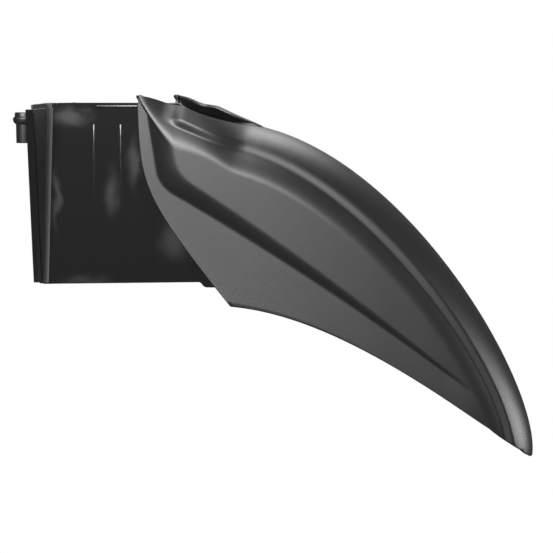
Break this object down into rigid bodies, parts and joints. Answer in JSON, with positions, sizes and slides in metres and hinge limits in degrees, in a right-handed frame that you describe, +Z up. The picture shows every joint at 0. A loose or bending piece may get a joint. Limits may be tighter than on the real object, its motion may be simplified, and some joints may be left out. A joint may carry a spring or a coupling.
{
  "type": "scooter front mudguard",
  "caption": "One-piece moulded front mudguard for a scooter: long curved blade with raised side panels, ending in a box that bolts under the fork crown.",
  "frame": {"origin": "centre of the four bolt holes, on the upper face of the mounting deck", "axes": "+X forward to the tip of the blade, +Z up out of the deck, +Y to the guard's left as seen from behind; the guard is symmetric about the XZ plane"},
  "size_m": [0.508, 0.1696, 0.3427],
  "materials": {
    "black_plastic": "fine grain on the blade, smooth on the walls of the box"
  },
  "bodies": {
    "root": {"mudguard": "black_plastic"}
  },
  "joints": []
}
